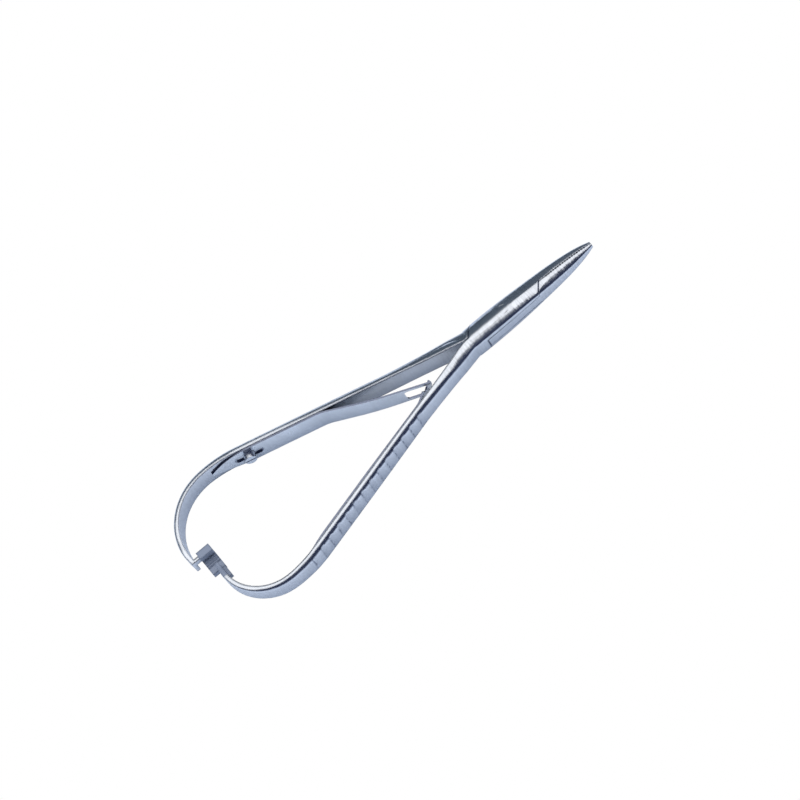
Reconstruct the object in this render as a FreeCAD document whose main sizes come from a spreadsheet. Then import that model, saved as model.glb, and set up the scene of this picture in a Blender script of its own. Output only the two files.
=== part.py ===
# Ligature tying pliers: two forged arms crossing in a box lock, a ratchet at the handle ends
# and two leaf springs that cross between the handles.
# Millimetres and degrees. +X runs to the tips, +Y to the left handle, +Z up.
# The origin is on the pivot axis at the underside of the box lock, where the pliers lie.
import FreeCAD
import Part
import Sketcher
import math
import os

doc = FreeCAD.newDocument("LigatureTyingPliers")

# Driving sizes
sizes = {
    # box lock, half sizes where the name says so
    "lockReach": 12.3,
    "lockHalfWidth": 3.35,
    "lockHalfHeight": 3.75,
    "lockCrown": 6.0,
    "lockCorner": 1.0,
    "shoulderReach": 10.0,
    "shoulderOut": 2.9,
    "slotReach": 8.6,
    "slotOut": 3.2,
    "slotHeight": 3.0,
    "lockClearance": 0.05,
    "grindDepth": 0.14,
    "pinRadius": 1.25,
    "pinClearance": 0.03,
    # jaws
    "jawLength": 30.0,
    "jawRootHalfWidth": 3.0,
    "jawRootHalfHeight": 2.9,
    "jawMidHalfWidth": 2.5,
    "jawMidHalfHeight": 2.3,
    "jawTipHalfWidth": 0.75,
    "jawTipHalfHeight": 0.7,
    "jawTipCorner": 0.3,
    "toothStart": 15.0,
    "toothPitch": 0.8,
    "toothCount": 17,
    "toothDepth": 0.2,
    # handles, measured along the inner face from the crotch
    "crotchReach": 13.6,
    "splay": 16.1,
    "handleDrop": 0.06,
    "rootDrop": 0.3,
    "rootThickness": 3.4,
    "gripThickness": 2.1,
    "kneeThickness": 1.8,
    "bowThickness": 1.4,
    "tailThickness": 1.1,
    "gripCorner": 1.4,
    "tailCorner": 0.35,
    "handleCrown": 30.0,
    "bowHalfHeight": 3.2,
    "tailHalfHeight": 2.3,
    "leftShankRun": 68.2,
    "leftKneeRadius": 34.0,
    "leftBowRadius": 16.8,
    "leftTailRun": 2.8,
    "rightShankRun": 66.4,
    "rightKneeRadius": 36.0,
    "rightBowRadius": 13.3,
    "rightTailRun": 4.5,
    # grip grooves on the outer flank
    "gripStart": 24.0,
    "gripPitch": 3.7,
    "gripCount": 14,
    "gripDepth": 0.3,
    "gripCutRadius": 1.6,
    # ratchet
    "ratchetHeight": 1.8,
    "ratchetLength": 4.3,
    "ratchetPitch": 0.95,
    "ratchetToothHeight": 0.5,
    "ratchetCrestGap": 0.06,
    "ratchetInset": 0.1,
    "neckRun": 1.6,
    "neckWidth": 1.1,
    "catchSetback": 0.3,
    "catchWidth": 2.4,
    "catchTeeth": 2,
    "rackTeeth": 4,
    "rackLead": 1.35,
    "rackHeel": 0.8,
    # leaf springs
    "leafThickness": 0.5,
    "leafHalfHeight": 3.5,
    "leafTipHalfHeight": 2.6,
    "leafEndHalfHeight": 0.4,
    "leafEndTaper": 12.0,
    "leafEndRadius": 30.0,
    "leafSeatGap": 0.02,
    "leftLeafKneeRun": 7.6,
    "rightLeafKneeRun": 7.6,
    "forkBendAt": 45.3,
    "forkBendRadius": 12.0,
    "forkBend": 14.3,
    "forkMidRun": 7.2,
    "forkReturn": 5.5,
    "forkTipRun": 11.4,
    "tongueBendAt": 22.5,
    "tongueBendRadius": 8.0,
    "tongueBend": 22.0,
    "tongueMidRun": 3.0,
    "tongueReturn": 1.0,
    "tongueTipRun": 1.0,
    "leafReturnRadius": 120.0,
    "leafSlotLength": 8.8,
    "leafSlotWidth": 2.8,
    "forkGap": 4.1,
    "forkRoot": 21.0,
    "forkCorner": 1.0,
    "tongueHeight": 2.6,
    "tongueRoot": 17.0,
    # clamp screws
    "screwAt": 67.0,
    "screwRadius": 1.0,
    "screwClearance": 0.03,
    "screwDepth": 1.5,
    "screwHeadRadius": 1.75,
    "screwHeadHeight": 1.7,
    "screwSlotWidth": 0.5,
    "screwSlotDepth": 0.4,
}

sheet = doc.addObject("Spreadsheet::Sheet", "dim")
for row, (name, value) in enumerate(sizes.items(), start=1):
    sheet.set("A%d" % row, name)
    sheet.set("B%d" % row, str(value))
    sheet.setAlias("B%d" % row, name)
doc.recompute()


def value(expression):
    # the number that an expression of the sheet's names has now
    result = sheet.evalExpression(bind(expression))
    return float(getattr(result, "Value", result))


def bind(expression):
    # every name of the sheet gets the sheet's own name in front
    text = ""
    word = ""
    for letter in str(expression) + " ":
        if letter.isalnum() or letter == "_" or letter == ".":
            word += letter
            continue
        text += ("dim." + word if word in sizes else word) + letter
        word = ""
    return text.strip()


def newBody(label, flipped=False):
    # a body in the pliers' mid-plane; a flipped one is turned over about the X axis
    body = doc.addObject("PartDesign::Body", label)
    body.Label = label
    turn = "180" if flipped else "0"
    body.setExpression("Placement", bind(
        "create(<<placement>>; create(<<vector>>; 0; 0; lockHalfHeight - grindDepth); "
        "create(<<rotation>>; 0; 0; %s))" % turn))
    return body


def newSketch(body, name, role, base=("0", "0", "0"), yaw="0", pitch="0"):
    # a sketch on one of the body's own origin planes, moved and turned in that plane's axes
    sketch = body.newObject("Sketcher::SketchObject", name)
    plane = [item for item in body.Origin.OriginFeatures if item.Role == role][0]
    sketch.AttachmentSupport = [(plane, "")]
    sketch.MapMode = "FlatFace"
    sketch.setExpression("AttachmentOffset", bind(
        "create(<<placement>>; create(<<vector>>; %s; %s; %s); create(<<rotation>>; %s; %s; 0))"
        % (*base, yaw, pitch)))
    return sketch


def constrain(sketch, kind, *where, size=None):
    # one constraint, tied to the sheet where it has a size
    if size is None:
        sketch.addConstraint(Sketcher.Constraint(kind, *where))
        return
    index = sketch.addConstraint(Sketcher.Constraint(kind, *where, value(size)))
    sketch.setExpression("Constraints[%d]" % index, bind(size))


def drawLine(sketch, start, end):
    return sketch.addGeometry(Part.LineSegment(FreeCAD.Vector(*start, 0), FreeCAD.Vector(*end, 0)))


def drawArc(sketch, centre, radius, start, end):
    circle = Part.Circle(FreeCAD.Vector(*centre, 0), FreeCAD.Vector(0, 0, 1), radius)
    return sketch.addGeometry(Part.ArcOfCircle(circle, start, end))


def drawCircle(sketch, x, y, radius):
    circle = Part.Circle(FreeCAD.Vector(value(x), value(y), 0), FreeCAD.Vector(0, 0, 1), value(radius))
    index = sketch.addGeometry(circle)
    constrain(sketch, "Radius", index, size=radius)
    constrain(sketch, "DistanceX", index, 3, size=x)
    constrain(sketch, "DistanceY", index, 3, size=y)


def drawOutline(sketch, corners, arcs={}):
    # a closed outline whose corners are pairs of expressions; an arc has a radius, and bends
    # left or right as seen along the outline
    places = [(value(x), value(y)) for x, y in corners]
    ends = []
    for i, start in enumerate(places):
        stop = places[(i + 1) % len(places)]
        if i not in arcs:
            ends.append((drawLine(sketch, start, stop), 1, 2))
            continue
        radius = value(arcs[i][0])
        first, last = (start, stop) if arcs[i][1] == "left" else (stop, start)
        chord = math.dist(first, last)
        away = math.sqrt(radius ** 2 - chord ** 2 / 4) / chord
        centre = ((first[0] + last[0]) / 2 - (last[1] - first[1]) * away,
                  (first[1] + last[1]) / 2 + (last[0] - first[0]) * away)
        angles = [math.atan2(y - centre[1], x - centre[0]) for x, y in (first, last)]
        arc = drawArc(sketch, centre, radius, *angles)
        constrain(sketch, "Radius", arc, size=arcs[i][0])
        ends.append((arc, 1, 2) if arcs[i][1] == "left" else (arc, 2, 1))
    for i, (edge, head, tail) in enumerate(ends):
        following = ends[(i + 1) % len(ends)]
        constrain(sketch, "Coincident", edge, tail, following[0], following[1])
        constrain(sketch, "DistanceX", edge, head, size=corners[i][0])
        constrain(sketch, "DistanceY", edge, head, size=corners[i][1])


def drawSlot(sketch, x, length, width):
    # a slot with round ends, centred on the sketch's horizontal axis
    half = value(width) / 2
    run = (value(length) - value(width)) / 2
    centre = value(x)
    left = drawArc(sketch, (centre - run, 0), half, math.pi / 2, 3 * math.pi / 2)
    bottom = drawLine(sketch, (centre - run, -half), (centre + run, -half))
    right = drawArc(sketch, (centre + run, 0), half, -math.pi / 2, math.pi / 2)
    top = drawLine(sketch, (centre + run, half), (centre - run, half))
    constrain(sketch, "Tangent", left, 2, bottom, 1)
    constrain(sketch, "Tangent", bottom, 2, right, 1)
    constrain(sketch, "Tangent", right, 2, top, 1)
    constrain(sketch, "Tangent", top, 2, left, 1)
    constrain(sketch, "Radius", left, size="(%s) / 2" % width)
    constrain(sketch, "DistanceX", left, 3, size="(%s) - ((%s) - (%s)) / 2" % (x, length, width))
    constrain(sketch, "DistanceX", right, 3, size="(%s) + ((%s) - (%s)) / 2" % (x, length, width))
    constrain(sketch, "DistanceY", left, 3, size="0")
    constrain(sketch, "Horizontal", bottom)


def extrude(body, kind, name, sketch, length, side="One side", backwards=False):
    # a pad or pocket; a pocket has to take something away
    doc.recompute()
    before = body.Shape.Volume if body.Tip else 0.0
    feature = body.newObject("PartDesign::" + kind, name)
    feature.Profile = sketch
    feature.SideType = side
    feature.Refine = False
    feature.Reversed = backwards
    feature.setExpression("Length", bind(length))
    body.Tip = feature
    doc.recompute()
    change = body.Shape.Volume - before
    if (kind == "Pocket" and change >= 0) or (kind == "Pad" and change <= 0):
        raise RuntimeError("%s changes nothing" % name)
    return feature


def repeat(body, name, feature, sketch, axis, length, count, backwards=False):
    # a row of copies of one feature
    pattern = body.newObject("PartDesign::LinearPattern", name)
    pattern.Originals = [feature]
    pattern.Direction = (sketch, [axis])
    pattern.Reversed = backwards
    pattern.setExpression("Length", bind(length))
    pattern.setExpression("Occurrences", bind(count))
    body.Tip = pattern
    doc.recompute()
    return pattern


# Half section of an arm: flat inner face, crowned top and bottom, rounded outer corners
def halfSection(body, name, station):
    sketch = newSketch(body, name, "YZ_Plane", (station["y"], "0", station["x"]),
                       pitch="-(%s)" % station["heading"])
    thick = value(station["thickness"])
    half = value(station["halfHeight"])
    crown = value(station["crown"])
    corner = value(station["corner"])
    rise = half - crown
    cornerHeight = rise + math.sqrt((crown - corner) ** 2 - (thick - corner) ** 2)
    meet = math.atan2(cornerHeight - rise, thick - corner)
    inner = drawLine(sketch, (0, -half), (0, half))
    top = drawArc(sketch, (0, rise), crown, meet, math.pi / 2)
    upper = drawArc(sketch, (thick - corner, cornerHeight), corner, 0, meet)
    flank = drawLine(sketch, (thick, -cornerHeight), (thick, cornerHeight))
    lower = drawArc(sketch, (thick - corner, -cornerHeight), corner, -meet, 0)
    bottom = drawArc(sketch, (0, -rise), crown, -math.pi / 2, -meet)
    constrain(sketch, "PointOnObject", inner, 1, -2)
    constrain(sketch, "Symmetric", inner, 1, inner, 2, -1)
    constrain(sketch, "DistanceY", inner, 2, size=station["halfHeight"])
    constrain(sketch, "Coincident", top, 2, inner, 2)
    constrain(sketch, "PointOnObject", top, 3, -2)
    constrain(sketch, "Radius", top, size=station["crown"])
    constrain(sketch, "Tangent", top, 1, upper, 2)
    constrain(sketch, "Radius", upper, size=station["corner"])
    constrain(sketch, "Tangent", upper, 1, flank, 2)
    constrain(sketch, "Vertical", flank)
    constrain(sketch, "DistanceX", flank, 1, size=station["thickness"])
    constrain(sketch, "Tangent", flank, 1, lower, 2)
    constrain(sketch, "Radius", lower, size=station["corner"])
    constrain(sketch, "Tangent", lower, 1, bottom, 2)
    constrain(sketch, "Radius", bottom, size=station["crown"])
    constrain(sketch, "PointOnObject", bottom, 3, -2)
    constrain(sketch, "Coincident", bottom, 1, inner, 1)
    return sketch


def between(start, end, part):
    return "(%s + (%s - %s) * %g)" % (start, end, start, part)


def station(x, y, heading, thickness, halfHeight, crown, corner):
    return {"x": x, "y": y, "heading": heading, "thickness": thickness,
            "halfHeight": halfHeight, "crown": crown, "corner": corner}


def lockStations():
    # the handle's side of the lock, from the jaw end back to the crotch
    return [station("lockReach", "0", "0", "jawRootHalfWidth", "jawRootHalfHeight", "lockCrown", "lockCorner"),
            station("0", "0", "0", "lockHalfWidth", "lockHalfHeight", "lockCrown", "lockCorner"),
            station("-lockReach", "0", "0", "lockHalfWidth", "lockHalfHeight", "lockCrown", "lockCorner")]


def shankStation(side, part, thickness, crown, drop, corner=1.0):
    # a place along the straight shank; its section changes from the lock's to the grip's
    shank = side + "ShankRun"
    return station("-(crotchReach + %s * %g)" % (shank, part), "%s * %g * tan(splay)" % (shank, part), "splay",
                   between("gripThickness", "rootThickness", thickness),
                   "(lockHalfHeight - handleDrop - rootDrop * %g)" % drop,
                   between("lockCrown", "handleCrown", crown), between("lockCorner", "gripCorner", corner))


def rootStations(side):
    # out of the lock, round the bend at the crotch and down to the grip's thickness
    return [station("-lockReach * 0.7", "0", "0", "lockHalfWidth", "lockHalfHeight", "lockCrown", "lockCorner"),
            station("-crotchReach", "0", "splay / 2", "rootThickness", "lockHalfHeight - handleDrop", "lockCrown",
                    "lockCorner"),
            shankStation(side, 0.06, 0.86, 0.0, 0.4, 0.2), shankStation(side, 0.12, 0.62, 0.02, 0.8, 0.5),
            shankStation(side, 0.2, 0.34, 0.06, 1.0, 0.8), shankStation(side, 0.28, 0.12, 0.1, 0.8),
            shankStation(side, 0.36, 0.0, 0.15, 0.5)]


def gripStations(side):
    # the straight grip, where the top flattens towards the knee
    return [shankStation(side, 0.36, 0.0, 0.15, 0.5), shankStation(side, 0.6, 0.0, 0.3, 0.0),
            shankStation(side, 0.8, 0.0, 0.6, 0.0), shankStation(side, 1.0, 0.0, 1.0, 0.2)]


def curveStations(side):
    # the knee, the bow and the tail
    shank = side + "ShankRun"
    knee = side + "KneeRadius"
    bow = side + "BowRadius"
    rows = [shankStation(side, 1.0, 0.0, 1.0, 0.2)]
    for part in (0.25, 0.5, 0.75, 1.0):
        turn = "splay * %g" % (1 - part)
        rows.append(station(
            "-(crotchReach + {0} + {1} * (sin(splay) - sin({2})))".format(shank, knee, turn),
            "{0} * tan(splay) + {1} * (cos({2}) - cos(splay))".format(shank, knee, turn), turn,
            between("gripThickness", "kneeThickness", part),
            between("(lockHalfHeight - handleDrop - rootDrop * 0.2)", "bowHalfHeight", part), "handleCrown",
            between("gripCorner", "tailCorner", part * 0.3)))
    kneeX = "(crotchReach + {0} + {1} * sin(splay))".format(shank, knee)
    kneeY = "({0} * tan(splay) + {1} * (1 - cos(splay)))".format(shank, knee)
    for part in (0.17, 0.33, 0.5, 0.67, 0.83, 1.0):
        turn = "%g" % (90 * part)
        rows.append(station(
            "-({0} + {1} * sin({2}))".format(kneeX, bow, turn),
            "{0} - {1} * (1 - cos({2}))".format(kneeY, bow, turn), "-" + turn,
            between("kneeThickness", "bowThickness", part),
            between("bowHalfHeight", "tailHalfHeight", part * 0.7), "handleCrown",
            between("gripCorner", "tailCorner", 0.3 + part * 0.6)))
    for part in (0.5, 1.0):
        rows.append(station(
            "-({0} + {1})".format(kneeX, bow),
            "{0} - {1} - {2} * {3:g}".format(kneeY, bow, side + "TailRun", part), "-90",
            between("bowThickness", "tailThickness", part), "tailHalfHeight", "handleCrown", "tailCorner"))
    return rows


def jawStations():
    # from the crotch, through the lock, to the tip, on the side that the handle isn't
    rows = []
    span = "(jawLength - lockReach)"
    for x, width, height, crown, corner in (
            ("-lockReach", "lockHalfWidth", "lockHalfHeight", "lockCrown", "lockCorner"),
            ("0", "lockHalfWidth", "lockHalfHeight", "lockCrown", "lockCorner"),
            ("lockReach", "jawRootHalfWidth", "jawRootHalfHeight", "lockCrown", "lockCorner"),
            ("lockReach + %s * 0.45" % span, "jawMidHalfWidth", "jawMidHalfHeight",
             "jawMidHalfWidth * 1.9", "lockCorner * 0.85"),
            ("lockReach + %s * 0.8" % span, between("jawTipHalfWidth", "jawMidHalfWidth", 0.5),
             between("jawTipHalfHeight", "jawMidHalfHeight", 0.5), "jawMidHalfWidth * 1.3",
             between("jawTipCorner", "lockCorner", 0.4)),
            ("jawLength", "jawTipHalfWidth", "jawTipHalfHeight", "jawTipHalfWidth * 2", "jawTipCorner")):
        rows.append(station(x, "0", "180", width, height, crown, corner))
    return rows


def loft(body, name, stations):
    sections = [halfSection(body, "%sSection%d" % (name, i), row) for i, row in enumerate(stations)]
    doc.recompute()
    feature = body.newObject("PartDesign::AdditiveLoft", name)
    feature.Profile = sections[0]
    feature.Sections = sections[1:]
    feature.Refine = False
    body.Tip = feature
    doc.recompute()


# Outlines of the box lock, the same after half a turn about the pivot
def lockOutlines(reach, out, shift):
    # the two regions beyond the walls that run from the crotch and from the jaws' split to the flanks
    spread = "1.7"
    far = "jawLength * 2"
    corner = ("-lockReach + (%s)" % shift, "(%s)" % shift)
    flank = ("%s + (lockReach - %s) * %s" % (corner[0], reach, spread),
             "%s - %s * %s" % (corner[1], out, spread))
    outline = [corner, flank, (flank[0], "-lockHalfWidth * 3"), ("-" + far, "-lockHalfWidth * 3"),
               ("-" + far, corner[1])]
    turned = [("-(%s)" % x, "-(%s)" % y) for x, y in outline]
    return outline, turned


def lockMiddle(reach, out, gap):
    # the region between those walls
    spread = "1.7"
    corner = ("-lockReach - (%s)" % gap, "(%s)" % gap)
    flank = ("%s + (lockReach - %s) * %s" % (corner[0], reach, spread),
             "%s + %s * %s" % (corner[1], out, spread))
    half = [corner, flank, ("-(%s)" % corner[0], flank[1])]
    return half + [("-(%s)" % x, "-(%s)" % y) for x, y in half]


def makeArm(label, side, passesThrough):
    body = newBody(label, flipped=not passesThrough)
    loft(body, "Lock", lockStations())
    loft(body, "Jaw", jawStations())
    loft(body, "Root", rootStations(side))
    loft(body, "Grip", gripStations(side))
    loft(body, "Curve", curveStations(side))

    # the arm that passes through has a tongue between the walls, the other a slot there
    walls = newSketch(body, "Walls", "XY_Plane")
    if passesThrough:
        outlines = lockOutlines("slotReach", "slotOut", "lockClearance")
    else:
        outlines = lockOutlines("shoulderReach", "shoulderOut", "0")
    for outline in outlines:
        drawOutline(walls, outline)
    extrude(body, "Pocket", "WallCut", walls, "lockHalfHeight * 4", "Symmetric")
    if passesThrough:
        for name, sign, backwards in (("Upper", "", True), ("Lower", "-", False)):
            level = sign + "(slotHeight / 2 - lockClearance)"
            layer = newSketch(body, name + "Shoulders", "XY_Plane", ("0", "0", level))
            drawOutline(layer, lockMiddle("shoulderReach", "shoulderOut", "lockClearance"))
            extrude(body, "Pocket", name + "ShoulderCut", layer, "lockHalfHeight * 2", backwards=backwards)
    else:
        layer = newSketch(body, "Slot", "XY_Plane")
        drawOutline(layer, lockMiddle("slotReach", "slotOut", "0"))
        extrude(body, "Pocket", "SlotCut", layer, "slotHeight", "Symmetric")

    # the crowned faces are ground to one plane above and one below
    for name, sign, backwards in (("Top", "", True), ("Bottom", "-", False)):
        level = sign + "(lockHalfHeight - grindDepth)"
        land = newSketch(body, name + "Land", "XY_Plane", ("0", "0", level))
        drawOutline(land, [("-jawLength * 5", "-jawLength"), ("jawLength * 2", "-jawLength"),
                           ("jawLength * 2", "jawLength"), ("-jawLength * 5", "jawLength")])
        extrude(body, "Pocket", name + "LandCut", land, "lockHalfHeight", backwards=backwards)

    bore = newSketch(body, "PivotBore", "XY_Plane")
    drawCircle(bore, "0", "0", "pinRadius + pinClearance")
    extrude(body, "Pocket", "PivotBoreCut", bore, "lockHalfHeight * 4", "Symmetric")

    # transverse teeth on the jaw's flat face
    face = "-lockClearance" if passesThrough else "0"
    tooth = newSketch(body, "JawTooth", "XY_Plane", ("toothStart", face, "0"))
    drawOutline(tooth, [("-toothPitch / 2", "toothDepth / 2"), ("0", "-toothDepth"),
                        ("toothPitch / 2", "toothDepth / 2")])
    cut = extrude(body, "Pocket", "JawToothCut", tooth, "lockHalfHeight * 4", "Symmetric")
    repeat(body, "JawTeeth", cut, tooth, "H_Axis", "toothPitch * (toothCount - 1)", "toothCount")

    # shallow grip grooves across the outer flank
    groove = newSketch(body, "GripGroove", "XY_Plane", ("-crotchReach", "0", "0"), yaw="180 - splay")
    drawCircle(groove, "gripStart", "-(gripThickness + gripCutRadius - gripDepth)", "gripCutRadius")
    cut = extrude(body, "Pocket", "GripGrooveCut", groove, "lockHalfHeight * 4", "Symmetric")
    repeat(body, "GripGrooves", cut, groove, "H_Axis", "gripPitch * (gripCount - 1)", "gripCount")

    # blind hole for the clamp screw in the inner face
    hole = newSketch(body, "ScrewHole", "XZ_Plane", ("-crotchReach", "0", "0"), pitch="-splay")
    drawCircle(hole, "-screwAt", "0", "screwRadius + screwClearance")
    extrude(body, "Pocket", "ScrewHoleCut", hole, "screwDepth + screwClearance")
    return body


def tailPlace(side):
    # where the tail's inner face stands and where the bow ends
    shank = side + "ShankRun"
    knee = side + "KneeRadius"
    bow = side + "BowRadius"
    x = "(crotchReach + {0} + {1} * sin(splay) + {2})".format(shank, knee, bow)
    y = "({0} * tan(splay) + {1} * (1 - cos(splay)) - {2})".format(shank, knee, bow)
    return x, y


ratchetEnd = "(%s - neckRun)" % tailPlace("left")[0]
ratchetStart = "(%s - ratchetLength)" % ratchetEnd
catchEdge = "(%s - leftTailRun - catchSetback)" % tailPlace("left")[1]
crestLevel = "(tailHalfHeight - ratchetHeight - ratchetToothHeight)"


def addComb(body, name, edge, width, crest, count):
    # a plate with saw teeth on one face, in the body's own axes from its crests up to the tail's face
    root = "(%s + ratchetToothHeight)" % crest
    corners = [(edge, "tailHalfHeight"), (edge, root)]
    for i in range(int(value(count))):
        for part, level in ((0.0, root), (0.75, crest), (0.92, root)):
            corners.append(("%s + ratchetInset + ratchetPitch * %g" % (edge, i + part), level))
    corners += [("%s + %s" % (edge, width), root), ("%s + %s" % (edge, width), "tailHalfHeight")]
    comb = newSketch(body, name, "YZ_Plane", ("0", "0", "-" + ratchetEnd))
    drawOutline(comb, corners)
    extrude(body, "Pad", name + "Pad", comb, "ratchetLength")


def addCatch(body):
    # the left tail folds towards the jaws and carries the catch over the rack
    x, y = tailPlace("left")
    fold = "(%s - leftTailRun)" % y
    neck = newSketch(body, "Neck", "XY_Plane", ("0", "0", "tailHalfHeight - ratchetHeight"))
    back = "-(%s + tailThickness * 0.6)" % x
    front = "-(%s - 0.6)" % ratchetEnd
    drawOutline(neck, [(back, fold), (front, fold), (front, fold + " + neckWidth"), (back, fold + " + neckWidth")])
    extrude(body, "Pad", "NeckPad", neck, "ratchetHeight - ratchetInset")
    addComb(body, "Catch", catchEdge, "catchWidth", crestLevel, "catchTeeth")


def addRack(body):
    # the right tail widens at its lower level into the rack; this body is modelled turned over
    x, y = tailPlace("right")
    crest = "(ratchetCrestGap - %s)" % crestLevel
    face = "(%s + ratchetToothHeight + ratchetInset)" % crest
    front = "-(%s + rackLead)" % catchEdge
    heel = "(%s - rightTailRun + rackHeel - (%s))" % (y, front)
    addComb(body, "Rack", front, heel, crest, "rackTeeth")
    top = "(%s - rackHeel / 4)" % y
    strip = "-(%s + tailThickness * 0.6)" % x
    low = "(%s - rightTailRun)" % y
    gusset = newSketch(body, "Gusset", "XY_Plane", ("0", "0", face))
    drawOutline(gusset, [("-(%s + 0.15)" % ratchetStart, low), ("-(%s + 0.15)" % ratchetStart, top),
                         (strip, top), (strip, low)])
    extrude(body, "Pad", "GussetPad", gusset, "tailHalfHeight - ratchetInset - " + face)


leftArm = makeArm("through_arm", "left", True)
addCatch(leftArm)
rightArm = makeArm("box_arm", "right", False)
addRack(rightArm)


# Pivot pin, ground flush with the lands of the lock
def makePin():
    body = newBody("pivot_pin")
    circle = newSketch(body, "PinCircle", "XY_Plane")
    drawCircle(circle, "0", "0", "pinRadius")
    extrude(body, "Pad", "Pin", circle, "(lockHalfHeight - grindDepth) * 2", "Symmetric")


# Leaf spring, clamped flat against a handle and bent away from it towards the other one
def makeLeaf(label, side, forked):
    body = newBody(label, flipped=not forked)
    half = "leafThickness / 2"
    knee = side + "KneeRadius"
    shankLength = "(%sShankRun / cos(splay))" % side
    turn = "(%sLeafKneeRun / %s * 180 / 3.14159265)" % (side, knee)
    kind = "fork" if forked else "tongue"
    bendAt, radius, turned = kind + "BendAt", kind + "BendRadius", kind + "Bend"
    last = "(%sBend - %sReturn)" % (kind, kind)
    seat = "(leafSeatGap + leafThickness / 2)"

    def step(place, dx, dy):
        return "(%s + %s)" % (place[0], dx), "(%s + %s)" % (place[1], dy)

    start = (shankLength, seat)
    end = step(start, "(%s - %s) * sin(%s)" % (knee, seat, turn), "(%s - %s) * (1 - cos(%s))" % (knee, seat, turn))
    bend = (bendAt, seat)
    middle = step(bend, "-%s * sin(%s)" % (radius, turned), "%s * (1 - cos(%s))" % (radius, turned))
    back = step(middle, "-%sMidRun * cos(%s)" % (kind, turned), "%sMidRun * sin(%s)" % (kind, turned))
    tip = step(back, "leafReturnRadius * (sin(%s) - sin(%s))" % (last, turned),
               "leafReturnRadius * (cos(%s) - cos(%s))" % (last, turned))
    point = step(tip, "-%sTipRun * cos(%s)" % (kind, last), "%sTipRun * sin(%s)" % (kind, last))
    path = [(end, "-" + turn), (start, "0"), (bend, "0"), (middle, turned), (back, turned),
            (tip, last), (point, last)]

    def offset(sign):
        return [step(place, "%s%s * sin(%s)" % (sign, half, angle), "%s%s * cos(%s)" % (sign, half, angle))
                for place, angle in path]

    near = offset("-")
    far = offset("")
    strip = newSketch(body, "Strip", "XY_Plane", ("-crotchReach", "0", "0"), yaw="180 - splay")
    drawOutline(strip, near + far[::-1], {
        0: ("%s - leafSeatGap" % knee, "right"),
        2: (radius + " + " + half, "right"),
        4: ("leafReturnRadius - " + half, "left"),
        8: ("leafReturnRadius + " + half, "right"),
        10: (radius + " - " + half, "left"),
        12: ("%s - leafSeatGap - leafThickness" % knee, "left")})
    extrude(body, "Pad", "StripPad", strip, "leafHalfHeight * 2", "Symmetric")

    # the strip narrows in a long curve behind the clamp, and evenly towards its tip
    fixedEnd = "(%s + %sLeafKneeRun)" % (shankLength, side)
    for name, sign, turning in (("Upper", "", "right"), ("Lower", "-", "left")):
        edge = newSketch(body, name + "Edge", "XZ_Plane", ("-crotchReach", "0", "0"), pitch="-splay")
        rows = [("-" + fixedEnd, "leafEndHalfHeight"),
                ("-(%s - leafEndTaper)" % fixedEnd, "leafHalfHeight"),
                ("-forkBendAt", "leafHalfHeight"), ("0", "leafTipHalfHeight"),
                ("0", "leafHalfHeight * 2"), ("-(%s + 3)" % fixedEnd, "leafHalfHeight * 2"),
                ("-(%s + 3)" % fixedEnd, "leafEndHalfHeight")]
        drawOutline(edge, [(x, "%s(%s)" % (sign, y)) for x, y in rows], {0: ("leafEndRadius", turning)})
        extrude(body, "Pocket", name + "EdgeCut", edge, "jawLength * 4", "Symmetric")

    slot = newSketch(body, "ClampSlot", "XZ_Plane", ("-crotchReach", "0", "0"), pitch="-splay")
    drawSlot(slot, "-screwAt", "leafSlotLength", "leafSlotWidth")
    extrude(body, "Pocket", "ClampSlotCut", slot, "forkBendAt / 2", "Symmetric")

    # one leaf ends in a fork and the other in a tongue that passes through it
    if forked:
        fork = newSketch(body, "Fork", "XZ_Plane", ("-crotchReach", "0", "0"), pitch="-splay")
        drawOutline(fork, [("-(forkRoot - forkCorner)", "-forkGap / 2"), ("0", "-forkGap / 2"),
                           ("0", "forkGap / 2"), ("-(forkRoot - forkCorner)", "forkGap / 2"),
                           ("-forkRoot", "forkGap / 2 - forkCorner"),
                           ("-forkRoot", "-(forkGap / 2 - forkCorner)")],
                    {3: ("forkCorner", "left"), 5: ("forkCorner", "left")})
        extrude(body, "Pocket", "ForkCut", fork, "jawLength * 4", "Symmetric")
        return
    for name, sign in (("Upper", ""), ("Lower", "-")):
        tongue = newSketch(body, name + "Tongue", "XZ_Plane", ("-crotchReach", "0", "0"), pitch="-splay")
        rows = [("-(tongueRoot + 1.2)", "leafHalfHeight * 2"), ("-(tongueRoot + 1.2)", "leafHalfHeight"),
                ("-tongueRoot", "tongueHeight / 2"), ("0", "tongueHeight / 2"),
                ("0", "leafHalfHeight * 2")]
        drawOutline(tongue, [(x, "%s(%s)" % (sign, y)) for x, y in rows])
        extrude(body, "Pocket", name + "TongueCut", tongue, "jawLength * 4", "Symmetric")


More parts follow.
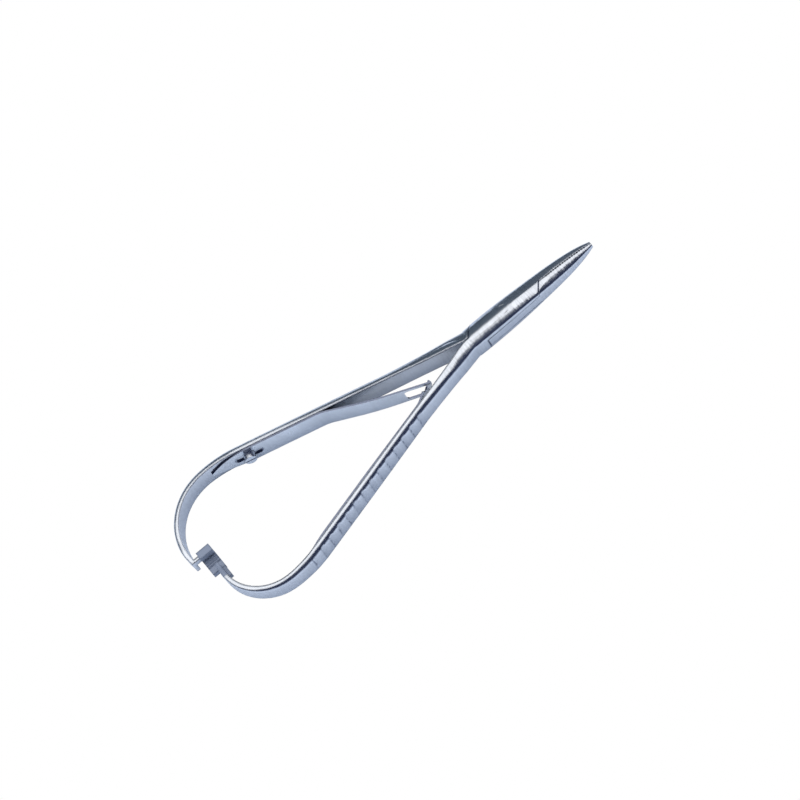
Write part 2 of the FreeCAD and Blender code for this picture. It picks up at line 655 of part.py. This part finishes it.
# Cheese head screw through the leaf's slot into the handle
def makeScrew(label, flipped):
    body = newBody(label, flipped)

    def across(name, depth):
        return newSketch(body, name, "XZ_Plane",
                         ("-(crotchReach + (%s) * sin(splay))" % depth, "0", "(%s) * cos(splay)" % depth),
                         pitch="-splay")

    under = "(leafSeatGap * 2 + leafThickness)"
    shaft = across("Shaft", "-screwDepth")
    drawCircle(shaft, "-screwAt", "0", "screwRadius")
    extrude(body, "Pad", "ShaftPad", shaft, "screwDepth + " + under)
    head = across("Head", under)
    drawCircle(head, "-screwAt", "0", "screwHeadRadius")
    extrude(body, "Pad", "HeadPad", head, "screwHeadHeight")
    slot = across("DriverSlot", under + " + screwHeadHeight")
    drawOutline(slot, [("-(screwAt + screwHeadRadius * 2)", "-screwSlotWidth / 2"),
                       ("-(screwAt - screwHeadRadius * 2)", "-screwSlotWidth / 2"),
                       ("-(screwAt - screwHeadRadius * 2)", "screwSlotWidth / 2"),
                       ("-(screwAt + screwHeadRadius * 2)", "screwSlotWidth / 2")])
    extrude(body, "Pocket", "DriverSlotCut", slot, "screwSlotDepth")


# Everything is sound before anything is written
def export():
    doc.recompute()
    for item in doc.Objects:
        if "Invalid" in item.State or "Error" in item.State:
            raise RuntimeError("%s failed: %s" % (item.Label, item.State))
    os.makedirs("parts", exist_ok=True)
    for item in doc.Objects:
        if item.TypeId != "PartDesign::Body":
            continue
        shape = item.Shape
        if shape.isNull() or not shape.isValid():
            raise RuntimeError("%s has no sound shape" % item.Label)
        print(item.Label, len(shape.Solids), "solid", round(shape.Volume, 2), "mm3")
        shape.exportStep("parts/%s.step" % item.Label)


makePin()
makeLeaf("fork_leaf_spring", "left", True)
makeLeaf("tongue_leaf_spring", "right", False)
makeScrew("fork_leaf_screw", False)
makeScrew("tongue_leaf_screw", True)
export()
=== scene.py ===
# Ligature tying pliers of stainless steel, lying closed on a white table
import math

import bpy
from mathutils import Matrix, Vector


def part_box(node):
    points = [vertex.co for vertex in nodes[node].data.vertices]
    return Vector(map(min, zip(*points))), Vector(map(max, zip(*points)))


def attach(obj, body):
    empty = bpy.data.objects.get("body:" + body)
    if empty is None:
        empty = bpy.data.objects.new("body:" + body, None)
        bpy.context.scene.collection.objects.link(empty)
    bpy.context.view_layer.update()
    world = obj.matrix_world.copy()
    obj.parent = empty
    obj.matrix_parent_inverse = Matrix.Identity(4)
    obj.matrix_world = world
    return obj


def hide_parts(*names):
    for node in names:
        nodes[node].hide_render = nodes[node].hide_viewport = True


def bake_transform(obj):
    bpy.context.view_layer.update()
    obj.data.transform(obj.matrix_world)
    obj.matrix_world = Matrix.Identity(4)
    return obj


print("frame")
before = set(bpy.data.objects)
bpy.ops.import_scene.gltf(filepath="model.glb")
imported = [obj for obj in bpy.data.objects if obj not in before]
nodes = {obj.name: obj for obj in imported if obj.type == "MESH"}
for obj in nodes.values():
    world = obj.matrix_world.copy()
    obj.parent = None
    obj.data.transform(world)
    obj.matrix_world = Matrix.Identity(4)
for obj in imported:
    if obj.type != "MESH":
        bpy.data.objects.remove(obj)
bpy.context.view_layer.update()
mm = 0.001

# Where the handles part behind the pivot, and the angle of each from the middle line
handles = {"crotch": 13.6 * mm, "splay": math.radians(16.1)}


# A node of a tree: each input is a value, or another node's socket to link
def addNode(tree, kind, inputs=None, **settings):
    node = tree.nodes.new(kind)
    for name, value in settings.items():
        setattr(node, name, value)
    for name, value in (inputs or {}).items():
        if hasattr(value, "is_output"):
            tree.links.new(value, node.inputs[name])
        else:
            node.inputs[name].default_value = value
    return node


def compute(tree, operation, *values):
    return addNode(tree, "ShaderNodeMath", dict(enumerate(values)), operation=operation).outputs[0]


# Carries start to end onto low to high, and holds the value at both ends
def remap(tree, value, start, end, low=0.0, high=1.0):
    return addNode(tree, "ShaderNodeMapRange", {0: value, 1: start, 2: end, 3: low, 4: high}).outputs[0]


def mixColors(tree, factor, first, second, blend="MIX"):
    colors = {0: factor, 6: first, 7: second}
    return addNode(tree, "ShaderNodeMix", colors, data_type="RGBA", blend_type=blend).outputs[2]


def addNoise(tree, place, scale, detail):
    return addNode(tree, "ShaderNodeTexNoise", {"Vector": place, "Scale": scale, "Detail": detail}).outputs[0]


def readPlace(tree, kind="Object"):
    return addNode(tree, "ShaderNodeTexCoord").outputs[kind]


def splitAxes(tree, vector):
    return addNode(tree, "ShaderNodeSeparateXYZ", {0: vector}).outputs


# A node group with named sockets, which are numbers apart from Normal
def newGroup(name, inputs, outputs):
    tree = bpy.data.node_groups.new(name, "ShaderNodeTree")
    for side, sockets in (("INPUT", inputs), ("OUTPUT", outputs)):
        for socket in sockets:
            kind = "NodeSocketVector" if socket == "Normal" else "NodeSocketFloat"
            tree.interface.new_socket(socket, in_out=side, socket_type=kind)
    return tree


def newMaterial(name):
    material = bpy.data.materials.new(name)
    material.use_nodes = True
    tree = material.node_tree
    tree.nodes.clear()
    return material, tree


# Brushed grain: fine lines across the length, with faint smudges over them. From the grips
# (rear) to the lock and jaws (front), the lines get deeper and darker
brushing = {"stretch": 260.0, "lineDetail": 3.0, "lineLow": 0.32, "lineHigh": 0.6,
            "cloud": 160.0, "cloudDetail": 4.0, "cloudLow": 0.3, "cloudHigh": 0.7, "cloudShade": 0.9,
            "rear": -30 * mm, "front": -12 * mm, "rearShade": 0.94, "frontShade": 0.84, "rearDepth": 0.15}


def makeGrainGroup():
    tree = newGroup("brushedGrain", ("Lines", "Smudge", "Roughness", "Depth"), ("Rough", "Shade", "Lean"))
    given = addNode(tree, "NodeGroupInput").outputs
    place = readPlace(tree)
    x, y, z = splitAxes(tree, place)
    spread = addNode(tree, "ShaderNodeCombineXYZ", {0: compute(tree, "MULTIPLY", x, given["Lines"]),
                                                    1: compute(tree, "MULTIPLY", y, brushing["stretch"]),
                                                    2: compute(tree, "MULTIPLY", z, brushing["stretch"])})
    lines = addNoise(tree, spread.outputs[0], 1.0, brushing["lineDetail"])
    cloud = addNoise(tree, place, brushing["cloud"], brushing["cloudDetail"])
    smudge = compute(tree, "SUBTRACT", cloud, 0.5)
    rough = compute(tree, "MULTIPLY_ADD", smudge, given["Smudge"], given["Roughness"])
    darkest = remap(tree, x, brushing["rear"], brushing["front"],
                    brushing["rearShade"], brushing["frontShade"])
    lineShade = remap(tree, lines, brushing["lineLow"], brushing["lineHigh"], darkest, 1.0)
    cloudShade = remap(tree, cloud, brushing["cloudLow"], brushing["cloudHigh"], brushing["cloudShade"], 1.0)
    shade = compute(tree, "MULTIPLY", lineShade, cloudShade)
    deepness = remap(tree, x, brushing["rear"], brushing["front"], brushing["rearDepth"], 1.0)
    depth = compute(tree, "MULTIPLY", deepness, given["Depth"])
    lean = compute(tree, "MULTIPLY", compute(tree, "SUBTRACT", lines, 0.5), depth)
    addNode(tree, "NodeGroupOutput", {"Rough": rough, "Shade": shade, "Lean": lean})
    return tree


# Soft roll of the crown over the ground land: in the lock about its middle line, and behind the
# crotch about each handle's inner edge, where it fades out along the grip. The whole top of the
# lock leans a little to the left, and within the rim about the pin's end no edge looks rounded
crownRoll = {"crown": 6.0 * mm, "rightFlattening": 0.4, "leftFlattening": 0.03, "middle": 0.1 * mm,
             "fadeStart": 40 * mm, "fadeEnd": 62 * mm, "level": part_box("pivot_pin")[1][2] - 0.004 * mm,
             "ramp": 4 * mm, "leftDrop": 0.4 * mm, "lean": 0.09, "leanDrop": 1.0 * mm, "rim": 1.8 * mm}


def makeRollGroup():
    tree = newGroup("landRoll", ("Lean", "Normal"), ("Normal",))
    given = addNode(tree, "NodeGroupInput").outputs
    x, y, z = splitAxes(tree, readPlace(tree))
    behind = compute(tree, "MAXIMUM", compute(tree, "SUBTRACT", -handles["crotch"], x), 0.0)
    drift = compute(tree, "MULTIPLY", behind, math.tan(handles["splay"]))
    away = compute(tree, "MAXIMUM", compute(tree, "SUBTRACT", compute(tree, "ABSOLUTE", y), drift), 0.0)
    flattening = remap(tree, y, -crownRoll["middle"], crownRoll["middle"],
                       crownRoll["rightFlattening"], crownRoll["leftFlattening"])
    radius = compute(tree, "MULTIPLY_ADD", behind, flattening, crownRoll["crown"])
    steep = compute(tree, "MULTIPLY", compute(tree, "DIVIDE", away, radius), compute(tree, "SIGN", y))
    fade = remap(tree, behind, crownRoll["fadeStart"], crownRoll["fadeEnd"], 1.0, 0.0)
    drop = remap(tree, behind, 0.0, crownRoll["ramp"], 0.0, crownRoll["leftDrop"])
    reached = compute(tree, "MULTIPLY_ADD", drop, compute(tree, "GREATER_THAN", y, 0.0), z)
    onLand = compute(tree, "MULTIPLY", compute(tree, "GREATER_THAN", reached, crownRoll["level"]), fade)
    inLock = remap(tree, behind, 0.0, crownRoll["ramp"], crownRoll["lean"], 0.0)
    onTop = compute(tree, "GREATER_THAN", z, crownRoll["level"] - crownRoll["leanDrop"])
    lean = compute(tree, "MULTIPLY_ADD", inLock, onTop, given["Lean"])
    tilt = addNode(tree, "ShaderNodeCombineXYZ", {1: compute(tree, "MULTIPLY_ADD", steep, onLand, lean)})
    worldTilt = addNode(tree, "ShaderNodeVectorTransform", {0: tilt.outputs[0]}, vector_type="VECTOR",
                        convert_from="OBJECT", convert_to="WORLD")
    reach = compute(tree, "SQRT", compute(tree, "MULTIPLY_ADD", x, x, compute(tree, "MULTIPLY", y, y)))
    onPin = compute(tree, "MULTIPLY", compute(tree, "LESS_THAN", reach, crownRoll["rim"]),
                    compute(tree, "GREATER_THAN", z, crownRoll["level"]))
    shape = addNode(tree, "ShaderNodeNewGeometry")
    normals = {0: onPin, 4: given["Normal"], 5: shape.outputs["Normal"]}
    plain = addNode(tree, "ShaderNodeMix", normals, data_type="VECTOR")
    leaning = addNode(tree, "ShaderNodeVectorMath", {0: plain.outputs[1], 1: worldTilt.outputs[0]},
                      operation="ADD")
    unit = addNode(tree, "ShaderNodeVectorMath", {0: leaning.outputs[0]}, operation="NORMALIZE")
    addNode(tree, "NodeGroupOutput", {"Normal": unit.outputs[0]})
    return tree


# Grip grooves: painted shade, an uneven dark stroke along one edge of each groove
gripGrooveShade = {"start": 24.0 * mm, "end": 73.5 * mm, "flank": 1.45 * mm, "pitch": 3.7 * mm,
               "wander": 0.9 * mm, "halfWidth": 0.93 * mm, "strokeWidth": 0.4 * mm,
               "patch": 700.0, "patchDetail": 2.0, "patchLow": 0.40, "patchHigh": 0.62, "faintest": 0.1}


def makeGripShadeGroup():
    tree = newGroup("grooveShadeStroke", (), ("Mask",))
    place = readPlace(tree)
    axes = splitAxes(tree, place)
    cosine, sine = math.cos(handles["splay"]), math.sin(handles["splay"])
    behind = compute(tree, "SUBTRACT", -handles["crotch"], axes["X"])
    out = compute(tree, "ABSOLUTE", axes["Y"])
    along = compute(tree, "MULTIPLY_ADD", behind, cosine, compute(tree, "MULTIPLY", out, sine))
    outward = compute(tree, "MULTIPLY_ADD", out, cosine, compute(tree, "MULTIPLY", behind, -sine))
    patch = addNoise(tree, place, gripGrooveShade["patch"], gripGrooveShade["patchDetail"])
    wander = compute(tree, "MULTIPLY_ADD", patch, gripGrooveShade["wander"], along)
    first = gripGrooveShade["start"] + gripGrooveShade["wander"] / 2
    step = compute(tree, "WRAP", compute(tree, "SUBTRACT", wander, first),
                   -gripGrooveShade["pitch"] / 2, gripGrooveShade["pitch"] / 2)
    off = compute(tree, "ABSOLUTE", compute(tree, "SUBTRACT", step, gripGrooveShade["halfWidth"]))
    # painted shade: a dark stroke along one edge of each groove
    stroke = remap(tree, off, 0.0, gripGrooveShade["strokeWidth"], 1.0, 0.0)
    uneven = remap(tree, patch, gripGrooveShade["patchLow"], gripGrooveShade["patchHigh"],
                   gripGrooveShade["faintest"], 1.0)
    mask = compute(tree, "MULTIPLY", stroke, uneven)
    for operation, value, limit in (("GREATER_THAN", along, "start"), ("LESS_THAN", along, "end"),
                                    ("GREATER_THAN", outward, "flank")):
        mask = compute(tree, "MULTIPLY", mask, compute(tree, operation, value, gripGrooveShade[limit]))
    addNode(tree, "NodeGroupOutput", {"Mask": mask})
    return tree


# Lock seams: painted shade along the shoulders' seams on top and in the slot's ends
lockSeamShade = {"reach": 12.3 * mm, "shoulderReach": 10.0 * mm, "shoulderOut": 2.9 * mm, "top": 6.0 * mm,
             "halfWidth": 0.28 * mm, "slotReach": 8.6 * mm, "slotTop": 5.2 * mm, "flank": 2.4 * mm}


def makeSeamShadeGroup():
    tree = newGroup("seamShadeMask", (), ("Mask",))

    def near(distance):
        halfWidth = lockSeamShade["halfWidth"]
        return remap(tree, compute(tree, "ABSOLUTE", distance), halfWidth / 2, halfWidth, 1.0, 0.0)

    x, y, z = splitAxes(tree, readPlace(tree))
    end = compute(tree, "SIGN", x)  # both ends of the lock are alike, turned about the pin
    ahead = compute(tree, "MULTIPLY", x, end)
    sideways = compute(tree, "MULTIPLY", y, end)
    back = lockSeamShade["reach"] - lockSeamShade["shoulderReach"]
    run = math.hypot(back, lockSeamShade["shoulderOut"])
    past = compute(tree, "SUBTRACT", ahead, lockSeamShade["reach"])
    across = compute(tree, "SUBTRACT", compute(tree, "MULTIPLY", past, lockSeamShade["shoulderOut"] / run),
                     compute(tree, "MULTIPLY", sideways, back / run))
    # painted shade in the seams between the lock's parts and in the slot's ends
    shoulder = compute(tree, "MULTIPLY", near(across),
                       compute(tree, "LESS_THAN", sideways, lockSeamShade["halfWidth"]))
    shoulder = compute(tree, "MULTIPLY", shoulder, compute(tree, "GREATER_THAN", z, lockSeamShade["top"]))
    slotEnd = compute(tree, "MULTIPLY", near(compute(tree, "SUBTRACT", ahead, lockSeamShade["slotReach"])),
                      compute(tree, "GREATER_THAN", sideways, lockSeamShade["flank"]))
    slotEnd = compute(tree, "MULTIPLY", slotEnd, compute(tree, "LESS_THAN", z, lockSeamShade["slotTop"]))
    addNode(tree, "NodeGroupOutput", {"Mask": compute(tree, "MAXIMUM", shoulder, slotEnd)})
    return tree


# Ratchet plates: the milling cutter has left them dull, between these ends along each axis
ratchetPlates = {"X": (-106.6 * mm, -101.9 * mm), "Y": (-8.0 * mm, 4.6 * mm)}


def makeDullGroup():
    tree = newGroup("milledRegion", (), ("Mask",))
    axes = splitAxes(tree, readPlace(tree))
    mask = 1.0
    for axis, (low, high) in ratchetPlates.items():
        for operation, limit in (("GREATER_THAN", low), ("LESS_THAN", high)):
            mask = compute(tree, "MULTIPLY", mask, compute(tree, operation, axes[axis], limit))
    addNode(tree, "NodeGroupOutput", {"Mask": mask})
    return tree


print("node groups")
grainGroup = makeGrainGroup()
rollGroup = makeRollGroup()
gripShadeGroup = makeGripShadeGroup()
seamShadeGroup = makeSeamShadeGroup()
dullGroup = makeDullGroup()


# What all the steels share: a tinted grain, and edges that look rounded
def startSteel(name, look):
    material, tree = newMaterial(name)
    grain = addNode(tree, "ShaderNodeGroup", look["grain"], node_tree=grainGroup)
    edges = addNode(tree, "ShaderNodeBevel", {"Radius": look["edge"]}, samples=6)
    color = mixColors(tree, 1.0, look["color"], grain.outputs["Shade"], blend="MULTIPLY")
    return material, tree, grain, edges, color


def closeSteel(tree, color, rough, normal, metal=1.0):
    inputs = {"Base Color": color, "Metallic": metal, "Roughness": rough, "Normal": normal}
    shader = addNode(tree, "ShaderNodeBsdfPrincipled", inputs)
    addNode(tree, "ShaderNodeOutputMaterial", {0: shader.outputs[0]})


# Forged steel: painted shade in the grip grooves and the lock's seams, dull plates, and edges that are
# narrower on the jaws
forged = {"color": (0.80, 0.82, 0.86, 1), "paintedShade": (0.22, 0.24, 0.31, 1), "dull": (0.34, 0.37, 0.44, 1),
          "dullRoughness": 0.5, "dullMetal": 0.35,
          "edge": 0.8 * mm, "edgeRear": -18 * mm, "edgeFront": -8 * mm,
          "grain": {"Lines": 3000.0, "Smudge": 0.1, "Roughness": 0.20, "Depth": 0.14}}


def makeForgedSteel():
    material, tree, grain, edges, color = startSteel("forgedSteel", forged)
    lengthwise = splitAxes(tree, readPlace(tree))["X"]
    rounding = remap(tree, lengthwise, forged["edgeRear"], forged["edgeFront"],
                     forged["edge"], forged["edge"] / 2)
    tree.links.new(rounding, edges.inputs["Radius"])
    strokes, seams, plates = (addNode(tree, "ShaderNodeGroup", node_tree=group).outputs["Mask"]
                              for group in (gripShadeGroup, seamShadeGroup, dullGroup))
    # painted shade of the grip grooves and the lock's seams
    color = mixColors(tree, compute(tree, "MAXIMUM", strokes, seams), color, forged["paintedShade"])
    color = mixColors(tree, plates, color, forged["dull"])
    least = remap(tree, plates, 0.0, 1.0, forged["grain"]["Roughness"], forged["dullRoughness"])
    rough = compute(tree, "MAXIMUM", least, grain.outputs["Rough"])
    metal = remap(tree, plates, 0.0, 1.0, 1.0, forged["dullMetal"])
    roll = addNode(tree, "ShaderNodeGroup", node_tree=rollGroup)
    tree.links.new(grain.outputs["Lean"], roll.inputs["Lean"])
    tree.links.new(edges.outputs[0], roll.inputs["Normal"])
    closeSteel(tree, color, rough, roll.outputs["Normal"], metal)
    return material


# Turned steel of the screws
turned = {"color": (0.76, 0.79, 0.84, 1), "edge": 0.15 * mm,
          "grain": {"Lines": 3000.0, "Smudge": 0.1, "Roughness": 0.32}}


def makeTurnedSteel():
    material, tree, grain, edges, color = startSteel("turnedSteel", turned)
    closeSteel(tree, color, grain.outputs["Rough"], edges.outputs[0])
    return material


# Spring steel: the strips' edges, which face up and down, get a darker colour than their faces, as painted
# shade
sprung = {"color": (0.86, 0.89, 0.93, 1), "cut": (0.24, 0.26, 0.34, 1), "cutStart": 0.5, "cutEnd": 0.8,
          "edge": 0.1 * mm, "grain": {"Lines": 900.0, "Smudge": 0.1, "Roughness": 0.26}}


def makeSpringSteel():
    material, tree, grain, edges, color = startSteel("springSteel", sprung)
    level = compute(tree, "ABSOLUTE", splitAxes(tree, readPlace(tree, "Normal"))["Z"])
    # painted shade on the strips' edges that face up and down
    cut = remap(tree, level, sprung["cutStart"], sprung["cutEnd"])
    color = mixColors(tree, cut, color, sprung["cut"])
    closeSteel(tree, color, grain.outputs["Rough"], edges.outputs[0])
    return material


def dress(target, material):
    target.data.materials.clear()
    target.data.materials.append(material)


# A piece of its own with the mesh of a node
def copyNode(name, pieceName, material):
    source = nodes[name]
    piece = bpy.data.objects.new(pieceName, source.data.copy())
    bpy.context.scene.collection.objects.link(piece)
    piece.matrix_world = source.matrix_world.copy()
    dress(piece, material)
    return piece


print("steel")
forgedSteel = makeForgedSteel()
turnedSteel = makeTurnedSteel()
springSteel = makeSpringSteel()
for name in ("box_arm", "through_arm", "pivot_pin"):
    dress(nodes[name], forgedSteel)
for name in ("fork_leaf_screw", "tongue_leaf_screw"):
    dress(nodes[name], turnedSteel)


# Leaf springs: each becomes a piece of its own with its node's mesh, baked where it lies
print("leaves")
leaves = {
    "fork_leaf_spring": {"piece": "forkLeaf", "own": "through_side", "other": "box_side",
                         "start": -57 * mm, "end": -18 * mm},
    "tongue_leaf_spring": {"piece": "tongueLeaf", "own": "box_side", "other": "through_side",
                           "start": -40 * mm, "end": 0},
}
for name, leaf in leaves.items():
    piece = copyNode(name, leaf["piece"], springSteel)
    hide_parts(name)
    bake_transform(piece)


# The tongue leaf's screw has a low head, which stays hidden behind the handle. What lies past its
# seat, inward from the handle, is pressed from the solid's height to the head's own
print("screw")
lowHead = {"node": "tongue_leaf_screw", "body": "box_side", "seat": 0.52 * mm, "solidHeight": 1.7 * mm,
           "height": 0.6 * mm}
piece = copyNode(lowHead["node"], "tongueLeafScrew", turnedSteel)
inward = Vector((-math.sin(handles["splay"]), math.cos(handles["splay"]), 0))
for vertex in piece.data.vertices:
    height = inward.dot(vertex.co + Vector((handles["crotch"], 0, 0))) - lowHead["seat"]
    if height > 0:
        vertex.co -= inward * height * (1 - lowHead["height"] / lowHead["solidHeight"])
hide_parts(lowHead["node"])
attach(piece, lowHead["body"])


# Table: pale to the steel above it, and white to the camera
paper = {"size": 4.0, "gap": 0.1 * mm, "color": (0.84, 0.865, 0.905, 1)}
white = (1, 1, 1, 1)


def makeTable():
    size = paper["size"]
    corners = [(-size, -size, 0), (size, -size, 0), (size, size, 0), (-size, size, 0)]
    mesh = bpy.data.meshes.new("table")
    mesh.from_pydata(corners, [], [(0, 1, 2, 3)])
    table = bpy.data.objects.new("table", mesh)
    bpy.context.scene.collection.objects.link(table)
    table.location.z = -paper["gap"]
    material, tree = newMaterial("tableWhite")
    path = addNode(tree, "ShaderNodeLightPath")
    matt = addNode(tree, "ShaderNodeBsdfDiffuse", {"Color": paper["color"]})
    bright = addNode(tree, "ShaderNodeEmission", {"Color": white, "Strength": 1.0})
    seen = addNode(tree, "ShaderNodeMixShader", {0: path.outputs["Is Camera Ray"], 1: matt.outputs[0],
                                                 2: bright.outputs[0]})
    addNode(tree, "ShaderNodeOutputMaterial", {0: seen.outputs[0]})
    table.data.materials.append(material)


# Studio: daylight on what is matt, a dim room in the reflections, and white behind the table
studio = {"daylight": (0.53, 0.62, 0.78, 1), "darkWall": (0.034, 0.044, 0.088, 1),
          "paleWall": (0.085, 0.110, 0.145, 1), "darkSide": -0.3, "paleSide": 0.5}


def makeWorld():
    world = bpy.data.worlds.new("studio")
    bpy.context.scene.world = world
    world.use_nodes = True
    tree = world.node_tree
    tree.nodes.clear()
    path = addNode(tree, "ShaderNodeLightPath")
    direction = splitAxes(tree, readPlace(tree, "Generated"))["Y"]
    side = remap(tree, direction, studio["darkSide"], studio["paleSide"])
    wall = mixColors(tree, side, studio["darkWall"], studio["paleWall"])
    room, daylight, backdrop = (addNode(tree, "ShaderNodeBackground", {"Color": color, "Strength": 1.0})
                                for color in (wall, studio["daylight"], white))
    lit = addNode(tree, "ShaderNodeMixShader", {0: path.outputs["Is Diffuse Ray"], 1: room.outputs[0],
                                                2: daylight.outputs[0]})
    seen = addNode(tree, "ShaderNodeMixShader", {0: path.outputs["Is Camera Ray"], 1: lit.outputs[0],
                                                 2: backdrop.outputs[0]})
    addNode(tree, "ShaderNodeOutputWorld", {0: seen.outputs[0]})


# One wide lamp over the far side, aimed a little behind the lock
overhead = {"place": (-0.03, 0.205, 0.60), "target": (-0.03, 0.0, 0.0), "width": 1.4, "depth": 0.43,
            "power": 2.15}


def makeLamp():
    lamp = bpy.data.lights.new("overhead", "AREA")
    lamp.shape = "RECTANGLE"
    lamp.size = overhead["width"]
    lamp.size_y = overhead["depth"]
    lamp.energy = overhead["power"]
    holder = bpy.data.objects.new("overhead", lamp)
    bpy.context.scene.collection.objects.link(holder)
    holder.location = overhead["place"]
    aim = Vector(overhead["target"]) - Vector(overhead["place"])
    holder.rotation_euler = aim.to_track_quat("-Z", "Y").to_euler()


# Camera: high over the near side, rolled so that the jaws point to the upper right
view = {"azimuth": math.radians(-4.0), "elevation": math.radians(59.0), "roll": math.radians(-36.35),
        "distance": 1.25, "left": 28.99 * mm, "below": 23.20 * mm,
        "lens": 206.8, "sensor": 36, "farthest": 20}


def makeCamera():
    azimuth, elevation, roll = view["azimuth"], view["elevation"], view["roll"]
    back = Vector((math.cos(elevation) * math.sin(azimuth), -math.cos(elevation) * math.cos(azimuth),
                   math.sin(elevation)))
    right = Vector((math.cos(azimuth), math.sin(azimuth), 0))
    up = back.cross(right)
    across = math.cos(roll) * right + math.sin(roll) * up
    upward = -math.sin(roll) * right + math.cos(roll) * up
    pinLow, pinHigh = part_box("pivot_pin")
    pivot = Vector((0, 0, (pinLow[2] + pinHigh[2]) / 2))
    place = pivot - view["left"] * across - view["below"] * upward + view["distance"] * back
    camera = bpy.data.cameras.new("camera")
    camera.lens = view["lens"]
    camera.sensor_width = view["sensor"]
    camera.clip_end = view["farthest"]
    viewer = bpy.data.objects.new("camera", camera)
    bpy.context.scene.collection.objects.link(viewer)
    viewer.matrix_world = Matrix.Translation(place) @ Matrix((across, upward, back)).transposed().to_4x4()
    bpy.context.scene.camera = viewer


print("stage")
makeTable()
makeWorld()
makeLamp()

print("camera")
makeCamera()
bpy.context.scene.view_settings.view_transform = "Standard"
